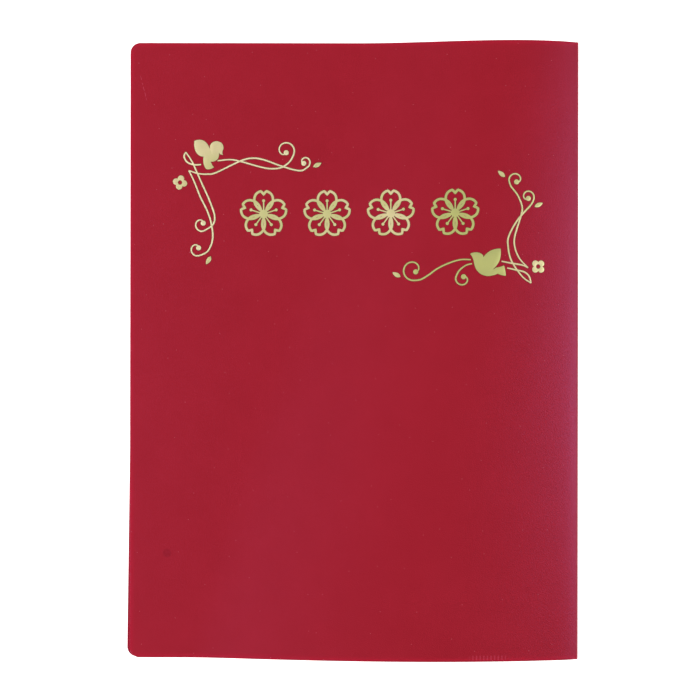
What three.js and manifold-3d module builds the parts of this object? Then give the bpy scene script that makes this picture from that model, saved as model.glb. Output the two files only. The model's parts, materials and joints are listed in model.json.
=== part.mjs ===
// Diploma cover: one plastic sheet folded round a narrow spine, with a clear pocket welded inside
// each cover and gold foil stamped on the front. It lies shut on its back cover, head towards +Y
// and spine at +X, and the front rises in a long bulge beside the spine, as a sprung fold does.
// Millimetres, +Z up, origin on the surface it lies on, under the middle of the cover.

import * as THREE from 'three';
import { mergeVertices } from 'three/addons/utils/BufferGeometryUtils.js';
import Module from 'manifold-3d';

const wasm = await Module();
wasm.setup();

// Folded sheet
const coverWidth = 226;
const coverHeight = 308;
const sheetThickness = 0.7;
const cornerRadius = 5;
const spineHeight = 5;
const creaseClearance = 0.1;
const backEdgeSkew = 3.8; // the back's free edge runs in by this from tail to head
const frontEdgeInset = 1.65; // the front's free edge stands in from the back's, at the tail

// Bulge of the front, at the head and at the tail
const headBulgeHeight = 5.7;
const tailBulgeHeight = 7.2;
const headBulgeReach = 113;
const tailBulgeReach = 196;
const headBulgeFall = 2; // how softly the bulge runs out, as a power
const tailBulgeFall = 1.2;

// Clear pockets
const filmThickness = 0.2;
const filmClearance = 0.1;
const pocketDepth = 0.3;
const pocketGap = 0.3; // between the two pockets of the shut cover
const weldInset = 1;
const weldWidth = 3;
const mouthFromSpine = 8;
const thumbNotchWidth = 24;
const thumbNotchDepth = 8;

// Gold foil
const foilThickness = 0.1;
const foilClearance = 0.08;
const vineWidth = 1.15;
const vineTipWidth = 0.65;
const budDiameter = 2.5;
const leafLength = 4.7;
const leafWidth = 2.1;
const flowerDiameter = 7.2;
const flowerPetalDiameter = 3.2;
const flowerEyeDiameter = 2.2;
const vineSwell = 0.6; // how quickly a vine widens from its ends, as a power
const curlTightening = 3; // how late a curl winds in, as a power
const ornamentUnit = 1; // of the ornament drawings' coordinates
const headOrnamentFromEdge = 31;
const headOrnamentFromHead = 64;
const tailOrnamentFromSpine = 26;
const tailOrnamentFromHead = 113;

// Row of blossoms, between the two ornaments, and its blossoms' sizes as shares of their diameter
const blossomCount = 4;
const firstBlossomFromOrnament = 37.5;
const lastBlossomFromSpine = 62.1;
const blossomRowFromHead = 85.7;
const blossomShare = 0.755; // of the pitch
const petalCount = 5;
const petalWidthShare = 0.44;
const petalLineShare = 0.0625;
const petalNotchShare = 0.07;
const petalShoulder = 0.62; // how far out a petal is widest, as a share of its reach
const petalTipTurn = 0.92; // and where its side turns in to the tip
const petalTipSpread = 0.3; // half the width of the notch, as a share of half the petal
const petalBelly = 0.4;
const eyeShare = 0.18;
const stamenShare = 0.275;
const stamenWidthShare = 0.033;
const antherShare = 0.07;

// Fineness of the faceting
const bulgeColumns = 32;
const bulgeRows = 8;
const strokeStep = 1.7;
const curlStep = 30; // degrees
const curveFineness = 5;
const weldDistance = 0.0005;

const spineX = coverWidth / 2;
const headY = coverHeight / 2;
const pocketStack = filmClearance + pocketDepth + filmThickness;
const closedLevel = 2 * (sheetThickness + pocketStack) + pocketGap;
const plainMargin = 2 * sheetThickness;
const cutHeight = closedLevel + spineHeight + headBulgeHeight + tailBulgeHeight;
const mouthX = spineX - mouthFromSpine;

const sheetFinish = new THREE.MeshStandardMaterial({ color: 0x9e2030, roughness: 0.42, metalness: 0 });
const filmFinish = new THREE.MeshStandardMaterial({
  color: 0xe6ecec,
  roughness: 0.15,
  metalness: 0,
  transparent: true,
  opacity: 0.35,
});
const foilFinish = new THREE.MeshStandardMaterial({ color: 0xc6bd7e, roughness: 0.35, metalness: 0.9 });

function between(head, tail, share) {
  return head + (tail - head) * share;
}

// Height of the front's outer face: flat beside the free edge, then a bulge, then down to the crease
function frontTop(x, y) {
  const tailward = (headY - y) / coverHeight;
  const reach = between(headBulgeReach, tailBulgeReach, tailward);
  const height = between(headBulgeHeight, tailBulgeHeight, tailward);
  const fall = between(headBulgeFall, tailBulgeFall, tailward);
  const s = Math.min((spineX - x) / reach, 1);
  const crest = (fall / (1 + fall)) ** fall / (1 + fall);
  const bulge = (height * s * (1 - s) ** fall) / crest;
  const settle = (1 - s) ** 2 * (1 + 2 * s);
  return closedLevel + (spineHeight - closedLevel) * settle + bulge;
}

function steepness(surface, x, y) {
  const reach = sheetThickness;
  const rise = surface(x + reach, y) - surface(x - reach, y);
  return Math.hypot(1, rise / (2 * reach));
}

function frontInside(x, y) {
  return frontTop(x, y) - sheetThickness * steepness(frontTop, x, y);
}

function backInside() {
  return sheetThickness;
}

function solidOf(geometry) {
  geometry.deleteAttribute('normal');
  geometry.deleteAttribute('uv');
  const merged = mergeVertices(geometry, weldDistance);
  return new wasm.Manifold(
    new wasm.Mesh({
      numProp: 3,
      vertProperties: new Float32Array(merged.attributes.position.array),
      triVerts: new Uint32Array(merged.index.array),
    }),
  );
}

function meshOf(name, solid, finish) {
  const cut = solid.getMesh();
  const geometry = new THREE.BufferGeometry();
  geometry.setAttribute('position', new THREE.BufferAttribute(cut.vertProperties, 3));
  geometry.setIndex(new THREE.BufferAttribute(cut.triVerts, 1));
  geometry.computeVertexNormals();
  const mesh = new THREE.Mesh(geometry, finish);
  mesh.name = name;
  return mesh;
}

// A layer that follows a surface, from one distance off it to another, over the whole cover
function layer(surface, low, high, columns, rows) {
  const width = coverWidth + 2 * plainMargin;
  const height = coverHeight + 2 * plainMargin;
  const plan = new THREE.PlaneGeometry(width, height, columns, rows);
  const places = plan.attributes.position;
  const count = places.count;
  const vertices = new Float32Array(6 * count);
  for (let i = 0; i < count; i += 1) {
    const x = places.getX(i);
    const y = places.getY(i);
    const steep = steepness(surface, x, y);
    vertices.set([x, y, surface(x, y) + high * steep], 3 * i);
    vertices.set([x, y, surface(x, y) + low * steep], 3 * (count + i));
  }
  const triangles = Array.from(plan.index.array);
  for (let i = 0; i < plan.index.count; i += 3) {
    const [a, b, c] = plan.index.array.slice(i, i + 3);
    triangles.push(a + count, c + count, b + count);
  }
  edgeLoop(columns, rows).forEach((a, i, loop) => {
    const b = loop[(i + 1) % loop.length];
    triangles.push(a, b, b + count, a, b + count, a + count);
  });
  const slab = new THREE.BufferGeometry();
  slab.setAttribute('position', new THREE.BufferAttribute(vertices, 3));
  slab.setIndex(triangles);
  return solidOf(slab);
}

// The vertices round the edge of a divided plane, clockwise from its upper left corner
function edgeLoop(columns, rows) {
  const across = columns + 1;
  const loop = [];
  for (let c = 0; c < columns; c += 1) loop.push(c);
  for (let r = 0; r < rows; r += 1) loop.push(r * across + columns);
  for (let c = columns; c > 0; c -= 1) loop.push(rows * across + c);
  for (let r = rows; r > 0; r -= 1) loop.push(r * across);
  return loop;
}

// An upright prism over an outline in plan
function prism(shape) {
  const upright = new THREE.ExtrudeGeometry(shape, {
    depth: cutHeight + 2 * plainMargin,
    bevelEnabled: false,
    curveSegments: curveFineness,
  });
  upright.translate(0, 0, -plainMargin);
  return solidOf(upright);
}

// A bar along Y whose section is given in X and Z
function bar(section, length) {
  const shape = new THREE.Shape(section.map(([x, z]) => new THREE.Vector2(x, z)));
  const along = new THREE.ExtrudeGeometry(shape, { depth: length, bevelEnabled: false });
  along.rotateX(Math.PI / 2);
  along.translate(0, length / 2, 0);
  return solidOf(along);
}

function joined(solids) {
  return solids.reduce((whole, solid) => whole.add(solid));
}

// Outline of a cover or pocket: square on the spine's side, rounded at the free edge
function coverOutline(right, headLeft, tailLeft, inset) {
  const top = headY - inset;
  const radius = Math.max(cornerRadius - inset, sheetThickness);
  const shape = new THREE.Shape();
  shape.moveTo(right, -top);
  shape.lineTo(right, top);
  shape.lineTo(headLeft + inset + radius, top);
  shape.absarc(headLeft + inset + radius, top - radius, radius, Math.PI / 2, Math.PI, false);
  shape.absarc(tailLeft + inset + radius, radius - top, radius, Math.PI, 1.5 * Math.PI, false);
  shape.closePath();
  return shape;
}

function backOutline(right, inset) {
  return coverOutline(right, backEdgeSkew - coverWidth / 2, -coverWidth / 2, inset);
}

function frontOutline(right, inset) {
  const left = frontEdgeInset - coverWidth / 2;
  return coverOutline(right, left, left, inset);
}

// The creases are mitred on the inside, so that each panel turns about the outer line of its fold
function makeBackCover() {
  const plate = new THREE.ExtrudeGeometry(backOutline(spineX, 0), {
    depth: sheetThickness,
    bevelEnabled: false,
    curveSegments: 8,
  });
  const corner = spineX - creaseClearance;
  const mitre = bar(
    [
      [corner - plainMargin, plainMargin],
      [corner + plainMargin, -plainMargin],
      [corner + plainMargin, plainMargin],
    ],
    coverHeight + 2 * plainMargin,
  );
  return meshOf('back_cover', solidOf(plate).subtract(mitre), sheetFinish);
}

function makeSpine() {
  const innerX = spineX - sheetThickness;
  const strip = bar(
    [
      [spineX, 0],
      [spineX, spineHeight],
      [innerX, spineHeight - sheetThickness],
      [innerX, sheetThickness],
    ],
    coverHeight,
  );
  return meshOf('spine', strip, sheetFinish);
}

function makeFrontCover() {
  const sheet = layer(frontTop, -sheetThickness, 0, bulgeColumns, bulgeRows);
  const corner = spineX - creaseClearance;
  const reach = 2 * plainMargin;
  const mitre = bar(
    [
      [corner - reach, spineHeight - reach],
      [corner + reach, spineHeight - reach],
      [corner + reach, spineHeight + reach],
    ],
    coverHeight + reach,
  );
  const panel = sheet.intersect(prism(frontOutline(spineX, 0))).subtract(mitre);
  return meshOf('front_cover', panel, sheetFinish);
}

// A pocket film lies on the cover along its weld and stands off it inside the weld. Side is 1 for a
// film above its cover and -1 for one below.
function makePocket(name, surface, side, outline, columns, rows) {
  const film = (low, high) => {
    const ends = [side * low, side * high];
    return layer(surface, Math.min(...ends), Math.max(...ends), columns, rows);
  };
  const seat = filmClearance;
  const raised = seat + pocketDepth;
  const inside = weldInset + weldWidth;
  const whole = prism(outline(mouthX, weldInset));
  const rim = prism(outline(mouthX, inside));
  const hollow = prism(outline(mouthX + plainMargin, inside + filmThickness));
  const notch = new THREE.Shape();
  notch.absellipse(mouthX, 0, thumbNotchDepth, thumbNotchWidth / 2, 0, 2 * Math.PI, false, 0);
  const weld = film(seat, seat + filmThickness).intersect(whole.subtract(hollow));
  const riser = film(seat, raised + filmThickness).intersect(rim.subtract(hollow));
  const panel = film(raised, raised + filmThickness).intersect(rim).subtract(prism(notch));
  return meshOf(name, joined([weld, riser, panel]), filmFinish);
}

// Foil drawing. Each figure is a list of prisms that are joined and laid on the bulge.

function discPrism(x, y, diameter) {
  const shape = new THREE.Shape();
  shape.absarc(x, y, diameter / 2, 0, 2 * Math.PI, false);
  return prism(shape);
}

// A ribbon along a line of points, its width given as a function of the share of the way
function ribbonPrism(points, widthAt) {
  const left = [];
  const right = [];
  points.forEach((point, i) => {
    const before = points[Math.max(i - 1, 0)];
    const after = points[Math.min(i + 1, points.length - 1)];
    const across = after.clone().sub(before).normalize();
    const half = widthAt(i / (points.length - 1)) / 2;
    left.push(new THREE.Vector2(point.x - across.y * half, point.y + across.x * half));
    right.unshift(new THREE.Vector2(point.x + across.y * half, point.y - across.x * half));
  });
  return prism(new THREE.Shape([...left, ...right]));
}

// A point of an ornament's drawing, counted from the ornament's corner
function placed(corner, x, y) {
  return [corner.x + x * ornamentUnit, corner.y + y * ornamentUnit];
}

function vineLine(corner, path) {
  const line = new THREE.SplineCurve(path.map(([x, y]) => new THREE.Vector2(...placed(corner, x, y))));
  return line.getSpacedPoints(Math.ceil(line.getLength() / strokeStep));
}

// A curl winds in round its centre and ends in a round bud. Angles are in degrees.
function curlLine(corner, curl) {
  const steps = Math.ceil(Math.abs(curl.turn) / curlStep);
  const points = [];
  for (let i = 1; i <= steps; i += 1) {
    const share = i / steps;
    const angle = THREE.MathUtils.degToRad(curl.start + curl.turn * share);
    const radius = between(curl.from, curl.to, share ** curlTightening);
    const x = curl.x + radius * Math.cos(angle);
    const y = curl.y + radius * Math.sin(angle);
    points.push(new THREE.Vector2(...placed(corner, x, y)));
  }
  return points;
}

function vinePrisms(corner, path, curl) {
  const swell = (share) => between(vineTipWidth, vineWidth, Math.sin(Math.PI * share) ** vineSwell);
  if (!curl) {
    return [ribbonPrism(vineLine(corner, path), swell)];
  }
  const line = [...vineLine(corner, path), ...curlLine(corner, curl)];
  const tip = line[line.length - 1];
  return [ribbonPrism(line, swell), discPrism(tip.x, tip.y, budDiameter)];
}

function leafPrisms(corner, leaf) {
  const angle = THREE.MathUtils.degToRad(leaf.turn);
  const half = leafLength / 2;
  const [x, y] = placed(corner, leaf.x, leaf.y);
  const place = (along, across) => [
    x + along * Math.cos(angle) - across * Math.sin(angle),
    y + along * Math.sin(angle) + across * Math.cos(angle),
  ];
  const shape = new THREE.Shape();
  shape.moveTo(...place(-half, 0));
  shape.quadraticCurveTo(...place(-leafWidth / 4, leafWidth), ...place(half, 0));
  shape.quadraticCurveTo(...place(-leafWidth / 4, -leafWidth), ...place(-half, 0));
  return [prism(shape)];
}

function flowerPrisms(corner, flower) {
  const reach = (flowerDiameter - flowerPetalDiameter) / 2;
  const [x, y] = placed(corner, flower.x, flower.y);
  const petals = [0, 90, 180, 270].map((quarter) => {
    const angle = THREE.MathUtils.degToRad(flower.turn + quarter);
    return discPrism(x + reach * Math.cos(angle), y + reach * Math.sin(angle), flowerPetalDiameter);
  });
  const heart = discPrism(x, y, flowerEyeDiameter + flowerPetalDiameter / 2);
  const eye = discPrism(x, y, flowerEyeDiameter);
  return [joined([...petals, heart]).subtract(eye)];
}

// A dove is one closed outline of curves, each given as its control point and its end
function dovePrisms(corner, dove) {
  const shape = new THREE.Shape();
  shape.moveTo(...placed(corner, ...dove.start));
  dove.curves.forEach(([controlX, controlY, endX, endY]) => {
    shape.quadraticCurveTo(...placed(corner, controlX, controlY), ...placed(corner, endX, endY));
  });
  return [prism(shape)];
}

const headCorner = { x: headOrnamentFromEdge - coverWidth / 2, y: headY - headOrnamentFromHead };
const headDove = {
  start: [10.3, 11.5],
  curves: [
    [11, 14.7, 14, 14.7],
    [17.6, 14.3, 17.3, 10.8],
    [16.4, 9.4, 17.1, 7.7],
    [15.9, 8.3, 15.1, 8.2],
    [15.2, 4.6, 11.1, 4.4],
    [11.3, 2.8, 12.7, 1.7],
    [10.6, 0.3, 8.8, 0.7],
    [6.9, 2.6, 7.3, 6.9],
    [2.2, 7.5, 2.7, 14.9],
    [7.8, 16.9, 10.3, 11.5],
  ],
};
const headVines = [
  {
    path: [
      [14.4, 4.9], [20.7, 5.5], [26.3, 4.5], [37.3, 1.5], [43, 1], [47.3, 2], [50.9, 5],
      [52.7, 8.6],
    ],
    curl: { x: 48.6, y: 9.9, start: -10, turn: 290, from: 4.2, to: 0.9 },
  },
  {
    path: [
      [0, 0], [4.7, -1.5], [9.2, -1.8], [13.7, -1], [25.8, 4.8], [31.8, 6.2], [37.3, 5.5],
      [47.3, 2], [55.9, 0], [60.2, 2.4],
    ],
    curl: { x: 58.2, y: 4.2, start: -25, turn: 245, from: 2.5, to: 0.8 },
  },
  {
    path: [
      [-1.5, 9.2], [1.9, 4.3], [4.2, -1], [7.2, -7.5], [11.2, -14.6], [13.2, -22.6],
      [12, -27.2], [7, -30.5],
    ],
    curl: { x: 6.8, y: -27, start: -95, turn: -210, from: 3.5, to: 0.8 },
  },
  {
    path: [
      [0, 0], [2.7, -5.5], [5.7, -13], [9.2, -20.1], [11.3, -26.6], [12, -34], [9.6, -40.3],
      [4.8, -42.8],
    ],
    curl: { x: 4.5, y: -39.4, start: -95, turn: -210, from: 3.4, to: 0.8 },
  },
  { path: [[-1.5, 9.2], [-2.4, 7], [-0.8, 4.2], [2.6, 2.9], [6.1, 3]] },
];
const headLeaves = [
  { x: 64.4, y: 2.9, turn: 26 },
  { x: 9.9, y: -45, turn: 241 },
];
const headFlower = { x: -4.4, y: -6, turn: 77 };

const tailCorner = { x: spineX - tailOrnamentFromSpine, y: headY - tailOrnamentFromHead };
const tailDove = {
  start: [-28.8, 6.9],
  curves: [
    [-27.3, 7.7, -25.3, 7.6],
    [-23, 7.4, -22, 5.5],
    [-18.9, 9.6, -13.7, 9.5],
    [-12.9, 3.6, -16.7, 0],
    [-14.2, 0.1, -12, 1.2],
    [-11.2, -1.4, -11.1, -4],
    [-13.2, -3.8, -15.1, -2.9],
    [-17.7, -4.2, -20.6, -4.1],
    [-25.9, -3.2, -26.8, 2.4],
    [-27.2, 5.3, -28.8, 6.9],
  ],
};
const tailLongVine = {
  path: [
    [-28.4, 4], [-33.3, 4], [-38.7, 2.5], [-44.7, -0.3], [-49.2, -3.5], [-53.2, -5.8],
    [-57, -6.2],
  ],
  curl: { x: -56.7, y: -1.3, start: -95, turn: -295, from: 4.9, to: 1.3 },
};
const tailShortVine = {
  path: [[-27.8, 2], [-30.8, 1.2], [-34.2, -1.5], [-35.9, -5]],
  curl: { x: -32.5, y: -5.2, start: 180, turn: 235, from: 3.4, to: 0.9 },
};
const tailCornerVines = [
  { path: [[-13.2, 3.2], [-7.8, 2.2], [-2.6, 1.3], [0, 0]] },
  { path: [[-10.4, -0.1], [-5.7, -1.1], [-2, -2], [0.5, -4.1], [1.5, -7.5]] },
  {
    path: [
      [1.5, -7.5], [-3.1, -4.1], [-8.3, 3.5], [-10, 10.6], [-9.6, 15.8], [-5.2, 23.8],
      [1.3, 31.2], [2.9, 34.3],
    ],
    curl: { x: 0, y: 35.2, start: -15, turn: 290, from: 2.9, to: 0.8 },
  },
  {
    path: [
      [0, 0], [-4.2, 4.5], [-6.5, 9.7], [-6.7, 15.5], [-3.4, 26.5], [-3.1, 30.6],
      [-5.2, 35.9], [-8.6, 40.4], [-9.6, 43.4],
    ],
    curl: { x: -6.3, y: 43.4, start: 180, turn: -240, from: 3.3, to: 1 },
  },
];
const tailLeaves = [
  { x: -13.3, y: 46.5, turn: 139 },
  { x: 5.3, y: 31.3, turn: 25 },
  { x: -65.1, y: -3.3, turn: 151 },
];
const tailFlower = { x: 5.1, y: 0.7, turn: 45 };

function vineGroup(corner, vines) {
  return vines.flatMap((vine) => vinePrisms(corner, vine.path, vine.curl));
}

// One petal of a blossom: a line that runs out from the eye, round to a notched tip and back
function petalShape(angle, reach, width, foot, notch) {
  const place = (along, across) => [
    along * Math.cos(angle) - across * Math.sin(angle),
    along * Math.sin(angle) + across * Math.cos(angle),
  ];
  const half = width / 2;
  const shoulder = reach * petalShoulder;
  const turn = reach * petalTipTurn;
  const spread = half * petalTipSpread;
  const belly = between(foot, shoulder, petalBelly);
  const shape = new THREE.Shape();
  shape.moveTo(...place(foot, 0));
  shape.quadraticCurveTo(...place(belly, half), ...place(shoulder, half));
  shape.quadraticCurveTo(...place(turn, half), ...place(reach, spread));
  shape.lineTo(...place(reach - notch, 0));
  shape.lineTo(...place(reach, -spread));
  shape.quadraticCurveTo(...place(turn, -half), ...place(shoulder, -half));
  shape.quadraticCurveTo(...place(belly, -half), ...place(foot, 0));
  return shape;
}

function blossomPrisms(x, y, diameter) {
  const reach = diameter / 2;
  const width = diameter * petalWidthShare;
  const line = diameter * petalLineShare;
  const notch = diameter * petalNotchShare;
  const parts = [];
  for (let i = 0; i < petalCount; i += 1) {
    const angle = Math.PI / 2 + (i * 2 * Math.PI) / petalCount;
    const petal = petalShape(angle, reach, width, 0, notch);
    const opening = petalShape(angle, reach - line, width - 2 * line, 2 * line, notch);
    parts.push(prism(petal).subtract(prism(opening)));
    const stamen = diameter * stamenShare;
    const tip = new THREE.Vector2(stamen * Math.cos(angle), stamen * Math.sin(angle));
    parts.push(ribbonPrism([new THREE.Vector2(0, 0), tip], () => diameter * stamenWidthShare));
    parts.push(discPrism(tip.x, tip.y, diameter * antherShare));
  }
  parts.push(discPrism(0, 0, diameter * eyeShare));
  return parts.map((part) => part.translate([x, y, 0]));
}

function makeFoil(name, prisms) {
  const leaf = layer(frontTop, foilClearance, foilClearance + foilThickness, bulgeColumns, bulgeRows);
  return meshOf(name, leaf.intersect(joined(prisms)), foilFinish);
}

function makeHeadOrnament() {
  return [
    makeFoil('foil_head_dove', dovePrisms(headCorner, headDove)),
    makeFoil('foil_head_vines', vineGroup(headCorner, headVines)),
    ...headLeaves.map((leaf, i) => makeFoil(`foil_head_leaf_${i + 1}`, leafPrisms(headCorner, leaf))),
    makeFoil('foil_head_flower', flowerPrisms(headCorner, headFlower)),
  ];
}

function makeTailOrnament() {
  return [
    makeFoil('foil_tail_dove', dovePrisms(tailCorner, tailDove)),
    makeFoil('foil_tail_long_vine', vineGroup(tailCorner, [tailLongVine])),
    makeFoil('foil_tail_short_vine', vineGroup(tailCorner, [tailShortVine])),
    makeFoil('foil_tail_corner_vines', vineGroup(tailCorner, tailCornerVines)),
    ...tailLeaves.map((leaf, i) => makeFoil(`foil_tail_leaf_${i + 1}`, leafPrisms(tailCorner, leaf))),
    makeFoil('foil_tail_flower', flowerPrisms(tailCorner, tailFlower)),
  ];
}

function makeBlossomRow() {
  const first = headCorner.x + firstBlossomFromOrnament;
  const last = spineX - lastBlossomFromSpine;
  const pitch = (last - first) / (blossomCount - 1);
  const y = headY - blossomRowFromHead;
  const row = [];
  for (let i = 0; i < blossomCount; i += 1) {
    const blossom = blossomPrisms(first + i * pitch, y, pitch * blossomShare);
    row.push(makeFoil(`foil_blossom_${i + 1}`, blossom));
  }
  return row;
}

const diplomaCover = new THREE.Group();
diplomaCover.add(
  makeBackCover(),
  makeSpine(),
  makeFrontCover(),
  makePocket('back_pocket', backInside, 1, backOutline, 1, 1),
  makePocket('front_pocket', frontInside, -1, frontOutline, bulgeColumns, bulgeRows),
  ...makeBlossomRow(),
  ...makeHeadOrnament(),
  ...makeTailOrnament(),
);

export default diplomaCover;
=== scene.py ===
import json
import math

import bpy
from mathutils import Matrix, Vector

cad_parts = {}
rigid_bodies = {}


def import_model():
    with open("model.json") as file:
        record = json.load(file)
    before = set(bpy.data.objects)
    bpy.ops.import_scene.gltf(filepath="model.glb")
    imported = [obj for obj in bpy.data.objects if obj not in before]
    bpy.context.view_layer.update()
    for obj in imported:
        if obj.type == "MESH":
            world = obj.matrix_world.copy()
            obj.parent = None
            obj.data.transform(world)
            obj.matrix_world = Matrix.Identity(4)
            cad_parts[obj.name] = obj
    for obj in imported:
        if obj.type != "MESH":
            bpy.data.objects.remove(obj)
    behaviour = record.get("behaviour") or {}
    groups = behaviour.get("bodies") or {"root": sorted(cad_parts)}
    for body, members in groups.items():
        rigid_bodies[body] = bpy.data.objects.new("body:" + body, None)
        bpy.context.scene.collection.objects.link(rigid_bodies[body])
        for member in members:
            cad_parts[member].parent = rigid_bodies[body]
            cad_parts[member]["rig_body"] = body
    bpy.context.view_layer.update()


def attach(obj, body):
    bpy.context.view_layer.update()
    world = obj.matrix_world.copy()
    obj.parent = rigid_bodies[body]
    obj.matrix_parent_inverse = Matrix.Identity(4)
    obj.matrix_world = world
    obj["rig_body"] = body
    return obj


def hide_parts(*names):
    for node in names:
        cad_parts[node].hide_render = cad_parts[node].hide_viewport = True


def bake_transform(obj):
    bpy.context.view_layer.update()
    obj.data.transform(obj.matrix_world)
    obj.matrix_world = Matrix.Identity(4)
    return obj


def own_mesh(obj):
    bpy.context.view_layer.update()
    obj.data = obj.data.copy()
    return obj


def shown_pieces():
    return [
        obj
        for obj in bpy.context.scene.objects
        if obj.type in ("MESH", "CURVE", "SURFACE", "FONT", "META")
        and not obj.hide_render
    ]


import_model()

# Diploma cover lying shut: crimson plastic sheet, clear pockets, gold foil. Metres, head towards +Y.
mm = 0.001

# the folded sheet, as the frame has it
cover = {
    "width": 226 * mm,
    "height": 308 * mm,
    "thickness": 0.7 * mm,
    "corner": 5 * mm,
    "spineHeight": 5 * mm,
    "foldRadius": 1.3 * mm,
    "backSkew": 3.8 * mm,
    "frontInset": 1.65 * mm,
    "closedLevel": 2.9 * mm,
    "edgeRounding": 0.22 * mm,
    "edgeLoop": 0.5 * mm,  # a loop of faces inside the edge, so that the shading stays flat up to it
    "rollOff": (0.5 * mm, 1.3 * mm),  # how far it dips close to the spine, at the head and the tail
    "rollOffReach": 3 * mm,
    "foldMargin": 0.3 * mm,  # how near the fold the edges stay sharp
}
# the rise of the front beside the spine: at the head, at the tail
bulge = {
    "height": (5.7 * mm, 7.2 * mm),
    "reach": (113 * mm, 196 * mm),
    "fall": (2, 1.2),
    "softening": 0.03,  # of the line where it runs out into the flat part
}
spineX = cover["width"] / 2
headY = cover["height"] / 2


def blendPair(pair, share):
    return pair[0] + (pair[1] - pair[0]) * share


def sheetTop(x, y):
    # the height of the front's outside; share runs from head to tail, s from the spine to the run-out
    share = (headY - y) / cover["height"]
    fall = blendPair(bulge["fall"], share)
    s = min((spineX - x) / blendPair(bulge["reach"], share), 1)
    crest = (fall / (1 + fall)) ** fall / (1 + fall)
    soft = bulge["softening"]
    runOut = (1 - s - soft * (1 - math.exp((s - 1) / soft))) / (1 - soft)
    rise = blendPair(bulge["height"], share) * s * runOut ** fall / crest
    settle = (1 - s) ** 2 * (1 + 2 * s)
    level = cover["closedLevel"]
    rollOff = blendPair(cover["rollOff"], share)
    roll = rollOff * (1 - s) * (1 - math.exp((x - spineX) / cover["rollOffReach"]))
    return level + (cover["spineHeight"] - level) * settle + rise + roll


# small tools

def startFresh():
    if bpy.context.object and bpy.context.object.mode != "OBJECT":
        bpy.ops.object.mode_set(mode="OBJECT")
    bpy.ops.object.select_all(action="DESELECT")


def nameIt(name):
    obj = bpy.context.object
    obj.name = name
    obj.data.name = name
    return obj


def editAll():
    bpy.ops.object.mode_set(mode="EDIT")
    bpy.ops.mesh.select_all(action="SELECT")


def leaveEdit():
    bpy.ops.object.mode_set(mode="OBJECT")


def sliceMesh(places, axis):
    for place in places:
        bpy.ops.mesh.select_all(action="SELECT")
        bpy.ops.mesh.bisect(plane_co=Vector(axis) * place, plane_no=axis)


def steps(low, high, gap):
    count = max(int(round((high - low) / gap)), 1)
    return [low + (high - low) * i / count for i in range(1, count)]


def addModifier(obj, kind, **settings):
    modifier = obj.modifiers.new(kind.title(), kind)
    for key, value in settings.items():
        setattr(modifier, key, value)
    bpy.context.view_layer.objects.active = obj
    bpy.ops.object.modifier_apply(modifier=modifier.name)


def thicken(obj, thickness):
    addModifier(obj, "SOLIDIFY", thickness=thickness, offset=-1, use_even_offset=True)


def softenEdges(obj, wanted):
    # rounds the sharp edges whose middles are wanted
    startFresh()
    bpy.context.view_layer.objects.active = obj
    obj.select_set(True)
    bpy.ops.object.mode_set(mode="EDIT")
    bpy.ops.mesh.select_mode(type="EDGE")
    bpy.ops.mesh.select_all(action="DESELECT")
    bpy.ops.mesh.edges_select_sharp(sharpness=math.radians(60))
    leaveEdit()
    corners = obj.data.vertices
    for edge in obj.data.edges:
        middle = (corners[edge.vertices[0]].co + corners[edge.vertices[1]].co) / 2
        edge.select = edge.select and wanted(middle)
    bpy.ops.object.mode_set(mode="EDIT")
    bpy.ops.mesh.bevel(offset=cover["edgeRounding"], segments=2, affect="EDGES")
    leaveEdit()


def smoothShade(obj, degrees=35):
    bpy.context.view_layer.objects.active = obj
    obj.select_set(True)
    bpy.ops.object.shade_smooth_by_angle(angle=math.radians(degrees))
    obj.select_set(False)


def joinPieces(pieces, name):
    startFresh()
    for piece in pieces:
        piece.select_set(True)
    bpy.context.view_layer.objects.active = pieces[0]
    if len(pieces) > 1:
        bpy.ops.object.join()
    return nameIt(name)


# materials

def newMaterial(name):
    material = bpy.data.materials.new(name)
    material.use_nodes = True
    nodes = material.node_tree.nodes
    shader = nodes["Principled BSDF"]
    return material, nodes, material.node_tree.links, shader


def srgb(red, green, blue):
    def line(value):
        value /= 255
        return value / 12.92 if value <= 0.04045 else ((value + 0.055) / 1.055) ** 2.4
    return (line(red), line(green), line(blue), 1)


def addNoise(nodes, links, scale, detail=2, roughness=0.5, stretch=(1, 1, 1)):
    place = nodes.new("ShaderNodeTexCoord")
    mapping = nodes.new("ShaderNodeMapping")
    mapping.inputs["Scale"].default_value = stretch
    noise = nodes.new("ShaderNodeTexNoise")
    noise.inputs["Scale"].default_value = scale
    noise.inputs["Detail"].default_value = detail
    noise.inputs["Roughness"].default_value = roughness
    links.new(place.outputs["Object"], mapping.inputs["Vector"])
    links.new(mapping.outputs["Vector"], noise.inputs["Vector"])
    return noise


def addRamp(nodes, links, source, stops):
    ramp = nodes.new("ShaderNodeValToRGB")
    first, last = ramp.color_ramp.elements
    first.position, first.color = stops[0]
    last.position, last.color = stops[-1]
    for position, colour in stops[1:-1]:
        ramp.color_ramp.elements.new(position).color = colour
    links.new(source, ramp.inputs["Fac"])
    return ramp


def addBump(nodes, links, height, strength, distance, before=None):
    bump = nodes.new("ShaderNodeBump")
    bump.inputs["Strength"].default_value = strength
    bump.inputs["Distance"].default_value = distance
    links.new(height, bump.inputs["Height"])
    if before:
        links.new(before.outputs["Normal"], bump.inputs["Normal"])
    return bump


def addMath(nodes, links, operation, first, second=0.0):
    node = nodes.new("ShaderNodeMath")
    node.operation = operation
    for socket, value in zip(node.inputs, (first, second)):
        if isinstance(value, (int, float)):
            socket.default_value = value
        else:
            links.new(value, socket)
    return node.outputs[0]


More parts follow.
